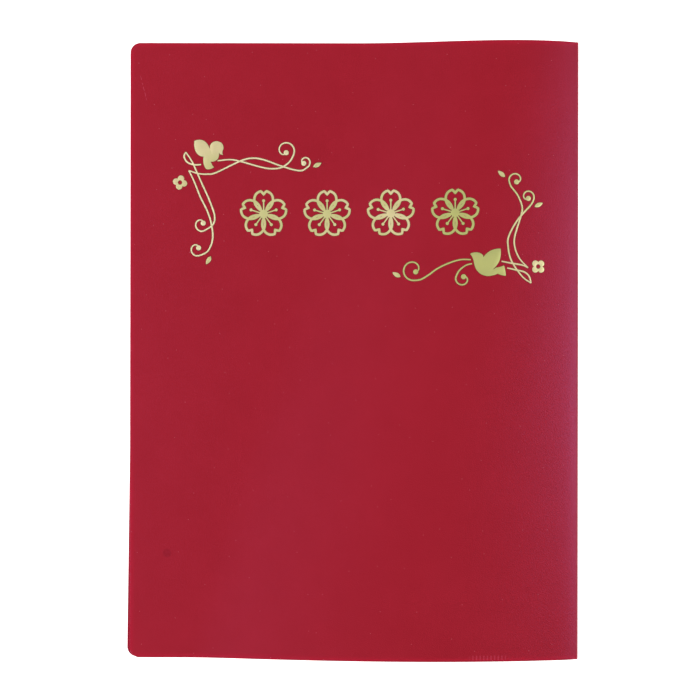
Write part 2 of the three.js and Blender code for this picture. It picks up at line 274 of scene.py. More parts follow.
def addFade(nodes, links, value, start, end):
    # 1 up to start, then smoothly down to 0 at end
    fade = nodes.new("ShaderNodeMapRange")
    fade.interpolation_type = "SMOOTHSTEP"
    fade.inputs["From Min"].default_value = start
    fade.inputs["From Max"].default_value = end
    fade.inputs["To Min"].default_value = 1
    fade.inputs["To Max"].default_value = 0
    links.new(value, fade.inputs["Value"])
    return fade.outputs["Result"]


def addTint(nodes, links, base, colour, factor):
    mix = nodes.new("ShaderNodeMix")
    mix.data_type = "RGBA"
    mix.inputs["B"].default_value = srgb(*colour)
    links.new(base, mix.inputs["A"])
    links.new(factor, mix.inputs["Factor"])
    return mix.outputs["Result"]


crimsonValues = {
    "deep": (154, 29, 41),
    "bright": (158, 31, 44),
    "roughness": (0.3, 0.42),
    "specular": 0.22,
    "sheenTint": (0.84, 0.4, 1, 1),
    "mottleSize": 45,
    "grainSize": 2200,
    "grainDepth": 0.18 * mm,
    "grainStrength": 0.6,
    "wavinessSize": 26,
    "wavinessDepth": 0.15 * mm,
    "wavinessStrength": 0.3,
    # painted highlight: a brighter red beside the free edges
    "edgeHighlightColour": (184, 27, 50),
    "edgeHighlightWidth": 3.2 * mm,
    "edgeHighlightStrength": 0.5,
    "dustColour": (205, 120, 135),
    "dustPerMetre": 52,
    "dustSize": 0.225 * mm,
    "spotPlace": (-92.7 * mm, -101.6 * mm),
    "spotSize": 2.6 * mm,
    "spotColour": (128, 22, 34),
    "spotStrength": 0.45,
    "scratchStart": (-106.5 * mm, 138.2 * mm),
    "scratchEnd": (-103 * mm, 124.7 * mm),
    "scratchWidth": 0.12 * mm,
    "scratchDashes": 800,
    "scratchColour": (206, 88, 112),
    # partly painted sheen: the weld's ticks are drawn lighter pink where the sheen would show them
    "tickSheenColour": (196, 66, 88),
    "tickStrength": 0.5,
    "tickPitch": 1.8 * mm,
    "tickMiddle": 67.6 * mm,
    "tickSpan": 11 * mm,
    "tickRows": (-153.2 * mm, -150.9 * mm),
}


def distanceTo(nodes, links, x, y, spot):
    across = addMath(nodes, links, "SUBTRACT", x, spot[0])
    up = addMath(nodes, links, "SUBTRACT", y, spot[1])
    squares = [addMath(nodes, links, "MULTIPLY", part, part) for part in (across, up)]
    return addMath(nodes, links, "SQRT", addMath(nodes, links, "ADD", *squares))


def addScratch(nodes, links, x, y):
    values = crimsonValues
    start, end = Vector(values["scratchStart"]), Vector(values["scratchEnd"])
    heading = (end - start).normalized()
    parts = []
    for a, b in ((heading.x, heading.y), (-heading.y, heading.x)):
        shift = -(start.x * a + start.y * b)
        both = addMath(nodes, links, "ADD", addMath(nodes, links, "MULTIPLY", x, a),
                       addMath(nodes, links, "MULTIPLY", y, b))
        parts.append(addMath(nodes, links, "ADD", both, shift))
    half = (end - start).length / 2
    along = addMath(nodes, links, "ABSOLUTE", addMath(nodes, links, "SUBTRACT", parts[0], half))
    across = addMath(nodes, links, "ABSOLUTE", parts[1])
    line = addMath(nodes, links, "MULTIPLY", addFade(nodes, links, along, half * 0.8, half),
                   addFade(nodes, links, across, 0, values["scratchWidth"]))
    dashes = addNoise(nodes, links, values["scratchDashes"], detail=0)
    gaps = addFade(nodes, links, dashes.outputs["Fac"], 0.42, 0.6)
    return addMath(nodes, links, "MULTIPLY", line, gaps)


def addTicks(nodes, links, x, y):
    # the knurled weld behind the sheet, which shows through at the tail; its pink ticks are drawn only where
    # the sheen catches them, so they are partly the weld's own mark and partly painted sheen
    values = crimsonValues
    turns = addMath(nodes, links, "MULTIPLY", x, 2 * math.pi / values["tickPitch"])
    bars = addMath(nodes, links, "MAXIMUM", addMath(nodes, links, "SINE", turns), 0)
    low, high = values["tickRows"]
    off = addMath(nodes, links, "ABSOLUTE", addMath(nodes, links, "SUBTRACT", y, (low + high) / 2))
    rows = addFade(nodes, links, off, (high - low) * 0.4, (high - low) * 0.6)
    side = addMath(nodes, links, "ABSOLUTE", addMath(nodes, links, "SUBTRACT", x, values["tickMiddle"]))
    stretch = addFade(nodes, links, side, values["tickSpan"] * 0.6, values["tickSpan"])
    return addMath(nodes, links, "MULTIPLY", addMath(nodes, links, "MULTIPLY", bars, rows), stretch)


def addMarks(nodes, links, x, y, upwards, colour):
    # a dark spot, a fine scratch and the weld's ticks, on the outside of the front only; the ticks' lighter
    # pink is partly painted sheen
    values = crimsonValues
    outside = addMath(nodes, links, "GREATER_THAN", upwards, 0)
    spot = addFade(nodes, links, distanceTo(nodes, links, x, y, values["spotPlace"]),
                   values["spotSize"] * 0.6, values["spotSize"])
    spot = addMath(nodes, links, "MULTIPLY", spot, values["spotStrength"])
    ticks = addMath(nodes, links, "MULTIPLY", addTicks(nodes, links, x, y), values["tickStrength"])
    scratch = addScratch(nodes, links, x, y)
    for mark, tint in ((spot, "spotColour"), (scratch, "scratchColour"), (ticks, "tickSheenColour")):
        seen = addMath(nodes, links, "MULTIPLY", mark, outside)
        colour = addTint(nodes, links, colour, values[tint], seen)
    return colour


def addDust(nodes, links, place, upwards, colour):
    # specks on the broad faces, not on the spine or the edges
    values = crimsonValues
    broad = addMath(nodes, links, "GREATER_THAN", addMath(nodes, links, "ABSOLUTE", upwards), 0.7)
    cells = nodes.new("ShaderNodeTexVoronoi")
    cells.voronoi_dimensions = "2D"
    cells.inputs["Scale"].default_value = values["dustPerMetre"]
    links.new(place.outputs["Object"], cells.inputs["Vector"])
    reach = values["dustSize"] * values["dustPerMetre"]
    dust = addMath(nodes, links, "MULTIPLY", broad,
                   addFade(nodes, links, cells.outputs["Distance"], 0, reach))
    return addTint(nodes, links, colour, values["dustColour"], dust)


def makeCrimson(name, marked):
    values = crimsonValues
    material, nodes, links, shader = newMaterial(name)
    place = nodes.new("ShaderNodeTexCoord")
    axes = nodes.new("ShaderNodeSeparateXYZ")
    links.new(place.outputs["Object"], axes.inputs["Vector"])
    x, y = axes.outputs["X"], axes.outputs["Y"]
    facing = nodes.new("ShaderNodeSeparateXYZ")
    links.new(place.outputs["Normal"], facing.inputs["Vector"])
    mottle = addNoise(nodes, links, values["mottleSize"], detail=4, roughness=0.6)
    base = addRamp(nodes, links, mottle.outputs["Fac"],
                   [(0.3, srgb(*values["deep"])), (0.7, srgb(*values["bright"]))])
    # painted highlight: the plastic turns a brighter red beside its free edges, standing in for light caught
    # there
    fromEnd = addMath(nodes, links, "SUBTRACT", headY, addMath(nodes, links, "ABSOLUTE", y))
    fromSide = addMath(nodes, links, "ADD", x, spineX - cover["frontInset"])
    rim = addFade(nodes, links, addMath(nodes, links, "MINIMUM", fromEnd, fromSide), 0, values["edgeHighlightWidth"])
    colour = addTint(nodes, links, base.outputs["Color"], values["edgeHighlightColour"],
                     addMath(nodes, links, "MULTIPLY", rim, values["edgeHighlightStrength"]))
    colour = addDust(nodes, links, place, facing.outputs["Z"], colour)
    if marked:
        colour = addMarks(nodes, links, x, y, facing.outputs["Z"], colour)
    links.new(colour, shader.inputs["Base Color"])
    # the matte grain breaks up the sheen
    grain = addNoise(nodes, links, values["grainSize"], detail=1)
    wave = addNoise(nodes, links, values["wavinessSize"], detail=1)
    rough = nodes.new("ShaderNodeMapRange")
    rough.inputs["To Min"].default_value = values["roughness"][0]
    rough.inputs["To Max"].default_value = values["roughness"][1]
    links.new(grain.outputs["Fac"], rough.inputs["Value"])
    links.new(rough.outputs["Result"], shader.inputs["Roughness"])
    soft = addBump(nodes, links, wave.outputs["Fac"], values["wavinessStrength"], values["wavinessDepth"])
    fine = addBump(nodes, links, grain.outputs["Fac"], values["grainStrength"], values["grainDepth"], soft)
    links.new(fine.outputs["Normal"], shader.inputs["Normal"])
    shader.inputs["Specular IOR Level"].default_value = values["specular"]
    shader.inputs["Specular Tint"].default_value = values["sheenTint"]
    return material


# painted reflection: the foil is a lighter or darker copy of the gold from figure to figure, standing in for
# a little more or less mirrored light
foilReflectionTones = {
    "warm": {"light": (224, 210, 160), "dark": (208, 203, 140)},
    "pale": {"light": (238, 226, 182), "dark": (232, 222, 174)},
    "olive": {"light": (196, 196, 120), "dark": (190, 191, 119)},
}
toneOfFigure = {
    "goldHeadVines": "pale",
    "goldTailDove": "olive",
    "goldTailLongVine": "olive",
    "goldTailShortVine": "olive",
    "goldBlossom4": "olive",
}
foilValues = {
    "patchSize": 60,
    "patchStretch": (1, 1.6, 1),
    "metallic": 0.25,
    "roughness": 0.45,
    "brushSize": 2600,
    "brushStrength": 0.4,
    "brushDepth": 0.01 * mm,
}


def makeFoilGold(tone):
    values = foilValues
    material, nodes, links, shader = newMaterial(f"{tone}Foil")
    # painted reflection: patches of lighter and darker gold stand in for the surroundings mirrored in the
    # foil
    patches = addNoise(nodes, links, values["patchSize"], detail=1, stretch=values["patchStretch"])
    base = addRamp(nodes, links, patches.outputs["Fac"],
                   [(0.38, srgb(*foilReflectionTones[tone]["light"])), (0.62, srgb(*foilReflectionTones[tone]["dark"]))])
    links.new(base.outputs["Color"], shader.inputs["Base Color"])
    shader.inputs["Metallic"].default_value = values["metallic"]
    shader.inputs["Roughness"].default_value = values["roughness"]
    grain = addNoise(nodes, links, values["brushSize"], detail=2)
    bump = addBump(nodes, links, grain.outputs["Fac"], values["brushStrength"], values["brushDepth"])
    links.new(bump.outputs["Normal"], shader.inputs["Normal"])
    return material


# painted shade: the dark ring round each foil figure
foilShadeRimValues = {
    "dark": (84, 24, 22),
    "lighter": (104, 32, 26),
    "shadeSize": 900,
    "roughness": 0.6,
}


def makeFoilShadeRim():
    # painted shade: a dark red-brown ring round the foil, standing in for the shadow in the groove that the
    # stamp leaves
    values = foilShadeRimValues
    material, nodes, links, shader = newMaterial("foilShadeRim")
    shade = addNoise(nodes, links, values["shadeSize"], detail=2)
    base = addRamp(nodes, links, shade.outputs["Fac"],
                   [(0.3, srgb(*values["dark"])), (0.7, srgb(*values["lighter"]))])
    links.new(base.outputs["Color"], shader.inputs["Base Color"])
    shader.inputs["Roughness"].default_value = values["roughness"]
    return material


filmValues = {
    "colour": (176, 182, 186),
    "alpha": 0.03,
    "roughness": 0.14,
    "knurlPitch": 1.8 * mm,
    "bandScale": 0.314,  # what the wave texture needs for one band to a unit
    "knurlStrength": 0.8,
    "knurlDepth": 0.2 * mm,
    "clearest": (188, 194, 196),
    "hazeSize": 30,
    "rippleSize": 22,
    "rippleStrength": 0.2,
    "rippleDepth": 0.6 * mm,
    "weldColour": (196, 168, 176),
    "weldAlpha": 0.2,
    "weldRoughness": 0.3,
}


def makeClearFilm():
    values = filmValues
    material, nodes, links, shader = newMaterial("clearFilm")
    haze = addNoise(nodes, links, values["hazeSize"], detail=3)
    base = addRamp(nodes, links, haze.outputs["Fac"],
                   [(0.3, srgb(*values["colour"])), (0.7, srgb(*values["clearest"]))])
    links.new(base.outputs["Color"], shader.inputs["Base Color"])
    shader.inputs["Alpha"].default_value = values["alpha"]
    shader.inputs["Roughness"].default_value = values["roughness"]
    ripple = addNoise(nodes, links, values["rippleSize"], detail=2)
    bump = addBump(nodes, links, ripple.outputs["Fac"], values["rippleStrength"], values["rippleDepth"])
    links.new(bump.outputs["Normal"], shader.inputs["Normal"])
    return material


def makeWeldFilm():
    values = filmValues
    material, nodes, links, shader = newMaterial("weldedFilm")
    place = nodes.new("ShaderNodeTexCoord")
    wave = nodes.new("ShaderNodeTexWave")
    wave.wave_type = "BANDS"
    wave.bands_direction = "DIAGONAL"
    wave.inputs["Scale"].default_value = values["bandScale"] / values["knurlPitch"]
    links.new(place.outputs["Object"], wave.inputs["Vector"])
    base = addRamp(nodes, links, wave.outputs["Fac"],
                   [(0.35, srgb(*values["weldColour"])), (0.65, srgb(*values["colour"]))])
    links.new(base.outputs["Color"], shader.inputs["Base Color"])
    shader.inputs["Alpha"].default_value = values["weldAlpha"]
    shader.inputs["Roughness"].default_value = values["weldRoughness"]
    bump = addBump(nodes, links, wave.outputs["Fac"], values["knurlStrength"], values["knurlDepth"])
    links.new(bump.outputs["Normal"], shader.inputs["Normal"])
    return material


crimson = makeCrimson("crimsonSheet", False)
crimsonFront = makeCrimson("crimsonFront", True)
foilGold = {tone: makeFoilGold(tone) for tone in foilReflectionTones}
foilShadeRim = makeFoilShadeRim()
clearFilm = makeClearFilm()
weldedFilm = makeWeldFilm()
print("materials made")


# the sheet: two covers and the spine

# how far apart the cuts are that let each piece bend
cuts = {
    "frontAcross": 2.6 * mm,
    "besideSpine": 0.8 * mm,
    "besideSpineReach": 12 * mm,
    "frontAlong": 5 * mm,
    "backAcross": 12 * mm,
    "backAlong": 20 * mm,
    "stripCount": 12,
    "stripAlong": 10 * mm,
    "backPocketAcross": 6 * mm,
    "frontPocketAcross": 3 * mm,
    "pocketAlong": 6 * mm,
}


def cutBlank(name, right, tailLeft, headLeft, bottom, top, corner):
    # leaves a flat blank with its two free corners rounded, in edit mode
    startFresh()
    bpy.ops.mesh.primitive_plane_add(size=1)
    obj = nameIt(name)
    for vertex in obj.data.vertices:
        left = headLeft if vertex.co.y > 0 else tailLeft
        vertex.co.x = right if vertex.co.x > 0 else left
        vertex.co.y = top if vertex.co.y > 0 else bottom
    bpy.ops.object.mode_set(mode="EDIT")
    bpy.ops.mesh.select_mode(type="VERT")
    bpy.ops.mesh.select_all(action="DESELECT")
    leaveEdit()
    for vertex in obj.data.vertices:
        vertex.select = vertex.co.x < (right + tailLeft) / 2
    bpy.ops.object.mode_set(mode="EDIT")
    bpy.ops.mesh.bevel(affect="VERTICES", offset=corner, segments=10)
    bpy.ops.mesh.select_mode(type="FACE")
    bpy.ops.mesh.select_all(action="SELECT")
    bpy.ops.mesh.inset(thickness=cover["edgeLoop"], depth=0)
    bpy.ops.mesh.select_mode(type="VERT")
    return obj


def finishSheet(obj, node=None, material=crimson):
    obj.data.materials.append(material)
    smoothShade(obj)
    if node:
        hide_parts(node)


def makeFrontCover():
    left = -cover["width"] / 2 + cover["frontInset"]
    end = spineX - cover["foldRadius"]
    obj = cutBlank("frontCover", end, left, left, -headY, headY, cover["corner"])
    finer = end - cuts["besideSpineReach"]
    sliceMesh(steps(left, finer, cuts["frontAcross"]) + steps(finer, end, cuts["besideSpine"]), (1, 0, 0))
    sliceMesh(steps(-headY, headY, cuts["frontAlong"]), (0, 1, 0))
    leaveEdit()
    for vertex in obj.data.vertices:
        vertex.co.z = sheetTop(vertex.co.x, vertex.co.y)
    thicken(obj, cover["thickness"])
    softenEdges(obj, lambda middle: middle.x < end - cover["foldMargin"])
    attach(obj, "front")
    finishSheet(obj, "front_cover", crimsonFront)


def makeBackCover():
    left = -cover["width"] / 2
    end = spineX - cover["foldRadius"]
    obj = cutBlank("backCover", end, left, left + cover["backSkew"], -headY, headY, cover["corner"])
    bpy.ops.mesh.select_all(action="SELECT")
    bpy.ops.mesh.flip_normals()
    sliceMesh(steps(left, end, cuts["backAcross"]), (1, 0, 0))
    sliceMesh(steps(-headY, headY, cuts["backAlong"]), (0, 1, 0))
    leaveEdit()
    thicken(obj, cover["thickness"])
    softenEdges(obj, lambda middle: middle.x < end - cover["foldMargin"])
    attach(obj, "back")
    finishSheet(obj, "back_cover")


def cutStrip(name, width):
    # a flat strip as long as the cover, cut so that it can be bent
    startFresh()
    bpy.ops.mesh.primitive_plane_add(size=1)
    obj = nameIt(name)
    for vertex in obj.data.vertices:
        vertex.co.x *= width
        vertex.co.y *= cover["height"]
    editAll()
    sliceMesh(steps(-width / 2, width / 2, width / cuts["stripCount"]), (1, 0, 0))
    sliceMesh(steps(-headY, headY, cuts["stripAlong"]), (0, 1, 0))
    leaveEdit()
    return obj


def makeSpine():
    half = cover["spineHeight"] / 2
    obj = cutStrip("spineStrip", 2 * (half - cover["foldRadius"]))
    for vertex in obj.data.vertices:
        vertex.co.z = half - vertex.co.x
        vertex.co.x = spineX
    thicken(obj, cover["thickness"])
    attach(obj, "spine_strip")
    finishSheet(obj, "spine")


def makeCrease(name, isFront):
    # the rounded fold between a cover and the spine
    radius = cover["foldRadius"]
    obj = cutStrip(name, radius)
    for vertex in obj.data.vertices:
        angle = (vertex.co.x / radius + 0.5) * math.pi / 2
        x = spineX - radius * (1 - math.sin(angle))
        drop = radius * (1 - math.cos(angle))
        vertex.co.z = sheetTop(x, vertex.co.y) - drop if isFront else drop
        vertex.co.x = x
    if not isFront:
        editAll()
        bpy.ops.mesh.flip_normals()
        leaveEdit()
    thicken(obj, cover["thickness"])
    finishSheet(obj)
    if isFront:
        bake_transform(obj)
    else:
        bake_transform(obj)


makeFrontCover()
makeBackCover()
makeSpine()
makeCrease("frontCrease", True)
makeCrease("backCrease", False)
print("sheet made")


# clear pockets

pocket = {
    "film": 0.2 * mm,
    "seat": 0.1 * mm,
    "depth": 0.3 * mm,
    "backInset": 2.4 * mm,
    "frontInset": 1 * mm,
    "weld": 3 * mm,
    "mouth": 8 * mm,
    "notchWidth": 24 * mm,
    "notchDepth": 8 * mm,
    "riseWidth": 0.4 * mm,  # over which the film lifts off beside the weld
}


def makePocket(name, tailLeft, skew, ground, side, gap, inset):
    # a film that lies on its cover along the weld and stands off it inside the weld
    mouth = spineX - pocket["mouth"]
    corner = cover["corner"] - inset
    obj = cutBlank(name, mouth, tailLeft + inset, tailLeft + skew + inset,
                   inset - headY, headY - inset, corner)
    left = tailLeft + inset
    sliceMesh(steps(left, mouth, gap), (1, 0, 0))
    sliceMesh(steps(inset - headY, headY - inset, cuts["pocketAlong"]), (0, 1, 0))
    weldLines = [pocket["weld"], pocket["weld"] + pocket["riseWidth"]]
    sliceMesh([sign * (headY - inset - line) for line in weldLines for sign in (1, -1)], (0, 1, 0))
    for line in weldLines:
        bpy.ops.mesh.select_all(action="SELECT")
        slant = Vector((1, -skew / cover["height"], 0))
        bpy.ops.mesh.bisect(plane_co=(tailLeft + skew / 2 + inset + line, 0, 0), plane_no=slant)
    leaveEdit()
    trimNotch(obj, mouth)
    for vertex in obj.data.vertices:
        x, y = vertex.co.x, vertex.co.y
        free = x - (tailLeft + skew * (y + headY) / cover["height"] + inset)
        inside = min(free, headY - inset - abs(y))
        standOff = 0 if inside < pocket["weld"] + pocket["riseWidth"] / 2 else pocket["depth"]
        lift = pocket["seat"] + standOff + (pocket["film"] if side > 0 else 0)
        vertex.co.z = ground(x, y) + side * lift
    obj.data.materials.append(clearFilm)
    obj.data.materials.append(weldedFilm)
    for face in obj.data.polygons:
        x, y = face.center.x, face.center.y
        free = x - (tailLeft + skew * (y + headY) / cover["height"] + inset)
        face.material_index = 1 if min(free, headY - inset - abs(y)) < pocket["weld"] else 0
    thicken(obj, pocket["film"])
    smoothShade(obj, 50)
    return obj


def trimNotch(obj, mouth):
    startFresh()
    bpy.ops.mesh.primitive_cylinder_add(vertices=64, radius=1, depth=1)
    cutter = nameIt("notchCutter")
    for vertex in cutter.data.vertices:
        vertex.co.x = mouth + vertex.co.x * pocket["notchDepth"]
        vertex.co.y *= pocket["notchWidth"] / 2
        vertex.co.z *= 40 * mm
    obj.select_set(True)
    addModifier(obj, "SOLIDIFY", thickness=0.1 * mm, offset=0)
    addModifier(obj, "BOOLEAN", object=cutter, operation="DIFFERENCE", solver="EXACT")
    bpy.data.objects.remove(cutter)
    # back to one skin: only the faces that look up stay
    bpy.context.view_layer.objects.active = obj
    bpy.ops.object.mode_set(mode="EDIT")
    bpy.ops.mesh.select_mode(type="FACE")
    bpy.ops.mesh.select_all(action="DESELECT")
    leaveEdit()
    for face in obj.data.polygons:
        face.select = face.normal.z < 0.5
    bpy.ops.object.mode_set(mode="EDIT")
    bpy.ops.mesh.delete(type="FACE")
    leaveEdit()


def frontInside(x, y):
    slope = (sheetTop(x + mm, y) - sheetTop(x - mm, y)) / (2 * mm)
    return sheetTop(x, y) - cover["thickness"] * math.hypot(1, slope)


def backInside(x, y):
    return cover["thickness"]


backPocket = makePocket("backPocket", -cover["width"] / 2, cover["backSkew"], backInside,
                        1, cuts["backPocketAcross"], pocket["backInset"])
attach(backPocket, "back")
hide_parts("back_pocket")
frontPocket = makePocket("frontPocket", -cover["width"] / 2 + cover["frontInset"], 0, frontInside,
                         -1, cuts["frontPocketAcross"], pocket["frontInset"])
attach(frontPocket, "front")
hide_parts("front_pocket")
print("pockets made")


# gold foil

foil = {
    "lift": 0.02 * mm,
    "height": 0.07 * mm,
    "rim": 0.2 * mm,
    "vineWidth": 0.78 * mm,
    "tipWidth": 0.6 * mm,
    "bud": 2.5 * mm,
    "leafLength": 4.7 * mm,
    "leafWidth": 2.1 * mm,
    "flower": 7.2 * mm,
    "flowerPetal": 3.2 * mm,
    "flowerEye": 2.2 * mm,
    "flowerEdge": 0.2 * mm,
    "backing": 0.015 * mm,
    "shoulder": 0.35,  # of the height, at the foil's edge
    "edgeWidth": 0.15 * mm,
    "lineStep": 0.5 * mm,
    "curlStep": 8,  # degrees
    "crossingStep": 0.008 * mm,  # each line that crosses another lies this much higher
    "budLift": 0.012 * mm,
}
# a vine's section: how far across, in half widths, and how high
vineSection = [(-1, foil["shoulder"]), (-0.6, 0.9), (0, 1), (0.6, 0.9), (1, foil["shoulder"])]


def layDown(obj, level=0):
    # moves a flat figure up onto the bulge, each point by the sheet's height there
    for vertex in obj.data.vertices:
        x, y, z = vertex.co
        vertex.co.z = sheetTop(x, y) + foil["lift"] + level + z
    return obj


def setFoilMaterials(obj):
    # gold on top, and the ring of painted shade where a face reaches down to the sheet
    obj.data.materials.append(foilGold["warm"])
    obj.data.materials.append(foilShadeRim)
    for face in obj.data.polygons:
        lowest = min(obj.data.vertices[v].co.z for v in face.vertices)
        face.material_index = 1 if lowest < 0.1 * foil["height"] else 0


def splinePoints(path, perSpan=8):
    # a smooth line through the path's points
    ends = [path[0], *path, path[-1]]
    line = []
    for i in range(1, len(ends) - 2):
        for k in range(perSpan):
            t = k / perSpan
            line.append(Vector([
                0.5 * (2 * b + (c - a) * t + (2 * a - 5 * b + 4 * c - d) * t ** 2
                       + (3 * b - a - 3 * c + d) * t ** 3)
                for a, b, c, d in zip(ends[i - 1], ends[i], ends[i + 1], ends[i + 2])
            ]))
    return [*line, Vector(path[-1])]


def curlPoints(curl):
    # winds in round a centre; angles in degrees
    count = int(abs(curl["turn"]) / foil["curlStep"])
    points = []
    for i in range(1, count + 1):
        share = i / count
        angle = math.radians(curl["start"] + curl["turn"] * share)
        radius = curl["from"] + (curl["to"] - curl["from"]) * share ** 3
        points.append(Vector((curl["x"] + radius * math.cos(angle), curl["y"] + radius * math.sin(angle))))
    return points


def evenLine(line, gap):
    # the same line with its points spaced evenly
    even = [line[0]]
    run = 0
    for a, b in zip(line, line[1:]):
        run += (b - a).length
        if run >= gap:
            even.append(b)
            run = 0
    if (even[-1] - line[-1]).length > gap / 3:
        even.append(line[-1])
    else:
        even[-1] = line[-1]
    return even


def layRibbon(line, widthAt, level=0, closed=False):
    # a crowned strip of foil along a line, with a ring of painted shade on both sides
    count = len(line) - 1
    startFresh()
    bpy.ops.mesh.primitive_grid_add(x_subdivisions=count, y_subdivisions=6, size=1)
    obj = nameIt("ribbon")
    for vertex in obj.data.vertices:
        i = round((vertex.co.x + 0.5) * count)
        j = round((vertex.co.y + 0.5) * 6)
        before = line[max(i - 1, 0)] if not closed else line[(i - 1) % count]
        after = line[min(i + 1, count)] if not closed else line[(i + 1) % count]
        heading = (after - before).normalized()
        half = widthAt(i / count) / 2
        section = [(-half - foil["rim"], 0), *((half * out, up) for out, up in vineSection),
                   (half + foil["rim"], 0)]
        across, height = section[j][0], section[j][1] * foil["height"]
        point = line[i] + Vector((-heading.y, heading.x)) * across
        vertex.co = (point.x, point.y, height)
    setFoilMaterials(obj)
    layDown(obj, level)
    if closed:
        editAll()
        bpy.ops.mesh.remove_doubles(threshold=0.02 * mm)
        leaveEdit()
    return obj


def outlineNormals(outline):
    count = len(outline)
    area = sum(a.x * b.y - b.x * a.y for a, b in zip(outline, outline[1:] + outline[:1]))
    sign = 1 if area > 0 else -1
    result = []
    for i in range(count):
        heading = (outline[(i + 1) % count] - outline[i - 1]).normalized()
        result.append(Vector((heading.y, -heading.x)) * sign)
    return result


def layFigure(outline, level=0, gap=3 * mm):
    # a filled foil figure from its outline: rim, rounded edge, then the face, cut so that it can bend
    startFresh()
    bpy.ops.mesh.primitive_circle_add(vertices=len(outline), radius=1, fill_type="NGON")
    obj = nameIt("figure")
    pushed = [p + n * foil["rim"] for p, n in zip(outline, outlineNormals(outline))]
    for vertex, point in zip(obj.data.vertices, pushed):
        vertex.co = (point.x, point.y, 0)
    editAll()
    bpy.ops.mesh.normals_make_consistent(inside=False)
    bpy.ops.mesh.inset(thickness=foil["rim"], depth=0)
    bpy.ops.transform.translate(value=(0, 0, foil["shoulder"] * foil["height"]))
    bpy.ops.mesh.inset(thickness=foil["edgeWidth"], depth=0)
    bpy.ops.transform.translate(value=(0, 0, (1 - foil["shoulder"]) * foil["height"]))
    leaveEdit()
    if obj.data.polygons[0].normal.z < 0:
        editAll()
        bpy.ops.mesh.flip_normals()
        leaveEdit()
    low = [min(p[k] for p in outline) for k in (0, 1)]
    high = [max(p[k] for p in outline) for k in (0, 1)]
    bpy.ops.object.mode_set(mode="EDIT")
    sliceMesh(steps(low[0] - mm, high[0] + mm, gap), (1, 0, 0))
    sliceMesh(steps(low[1] - mm, high[1] + mm, 2 * gap), (0, 1, 0))
    leaveEdit()
    setFoilMaterials(obj)
    return layDown(obj, level)


def discOutline(x, y, diameter, count=32):
    return [Vector((x + diameter / 2 * math.cos(a), y + diameter / 2 * math.sin(a)))
            for a in (2 * math.pi * i / count for i in range(count))]


def curvedOutline(start, curves, count=7):
    # an outline of curves, each given as its control point and its end
    points = [Vector(start)]
    for controlX, controlY, endX, endY in curves:
        first, control, end = points[-1], Vector((controlX, controlY)), Vector((endX, endY))
        for i in range(1, count + 1):
            t = i / count
            points.append(first * (1 - t) ** 2 + control * 2 * t * (1 - t) + end * t ** 2)
    return points[:-1]


def finishFoil(pieces, name, node):
    obj = joinPieces(pieces, name)
    obj.data.materials[0] = foilGold[toneOfFigure.get(name, "warm")]
    thicken(obj, foil["backing"])
    smoothShade(obj, 50)
    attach(obj, "front")
    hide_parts(node)


def placed(corner, points):
    return [Vector((corner.x + x * mm, corner.y + y * mm)) for x, y in points]


def makeVine(corner, vine, level=0):
    line = splinePoints(placed(corner, vine["path"]))
    pieces = []
    if "curl" in vine:
        curl = {key: value * mm for key, value in vine["curl"].items() if key in ("x", "y", "from", "to")}
        curl["x"] += corner.x
        curl["y"] += corner.y
        line += curlPoints({**vine["curl"], **curl})
        bud = discOutline(line[-1].x, line[-1].y, foil["bud"], 24)
        pieces.append(layFigure(bud, level + foil["budLift"]))
    line = evenLine(line, foil["lineStep"])

    def swell(share):
        return foil["tipWidth"] + (foil["vineWidth"] - foil["tipWidth"]) * math.sin(math.pi * share) ** 0.6
    pieces.append(layRibbon(line, swell, level))
    return pieces


def makeVines(name, node, corner, vines):
    pieces = []
    for i, vine in enumerate(vines):
        pieces += makeVine(corner, vine, i * foil["crossingStep"])
    finishFoil(pieces, name, node)


def makeLeaf(name, node, corner, leaf):
    angle = math.radians(leaf[2])
    half = foil["leafLength"] / 2
    wide = foil["leafWidth"]

    def spot(along, across):
        return (corner.x + leaf[0] * mm + along * math.cos(angle) - across * math.sin(angle),
                corner.y + leaf[1] * mm + along * math.sin(angle) + across * math.cos(angle))
    outline = curvedOutline(spot(-half, 0), [
        (*spot(-wide / 4, wide), *spot(half, 0)),
        (*spot(-wide / 4, -wide), *spot(-half, 0)),
    ], 10)
    finishFoil([layFigure(outline)], name, node)


def makeDove(name, node, corner, dove):
    scaled = [[corner.x + a * mm, corner.y + b * mm, corner.x + c * mm, corner.y + d * mm]
              for a, b, c, d in dove["curves"]]
    start = (corner.x + dove["start"][0] * mm, corner.y + dove["start"][1] * mm)
    finishFoil([layFigure(curvedOutline(start, scaled))], name, node)


def makeFlower(name, node, corner, flower):
    # four round petals round an open eye, as one ring
    centre = Vector((corner.x + flower[0] * mm, corner.y + flower[1] * mm))
    reach = (foil["flower"] - foil["flowerPetal"]) / 2
    petal = foil["flowerPetal"] / 2
    inner = foil["flowerEye"] / 2
    startFresh()
    bpy.ops.mesh.primitive_grid_add(x_subdivisions=72, y_subdivisions=6, size=1)
    obj = nameIt("flower")
    rim, edge = foil["rim"], foil["flowerEdge"]
    for vertex in obj.data.vertices:
        turn = (vertex.co.x + 0.5) * 2 * math.pi
        j = round((vertex.co.y + 0.5) * 6)
        fromPetal = (turn + math.pi / 4) % (math.pi / 2) - math.pi / 4
        outer = reach * math.cos(fromPetal) + math.sqrt(petal ** 2 - (reach * math.sin(fromPetal)) ** 2)
        middle = (inner + outer) / 2
        radius = [outer + rim, outer, outer - edge, middle, inner + edge, inner, inner - rim][j]
        height = [0, foil["shoulder"], 1, 1, 1, foil["shoulder"], 0][j] * foil["height"]
        angle = turn + math.radians(flower[2])
        vertex.co = (centre.x + radius * math.cos(angle), centre.y + radius * math.sin(angle), height)
    setFoilMaterials(obj)
    layDown(obj)
    editAll()
    bpy.ops.mesh.remove_doubles(threshold=0.01 * mm)
    leaveEdit()
    finishFoil([obj], name, node)


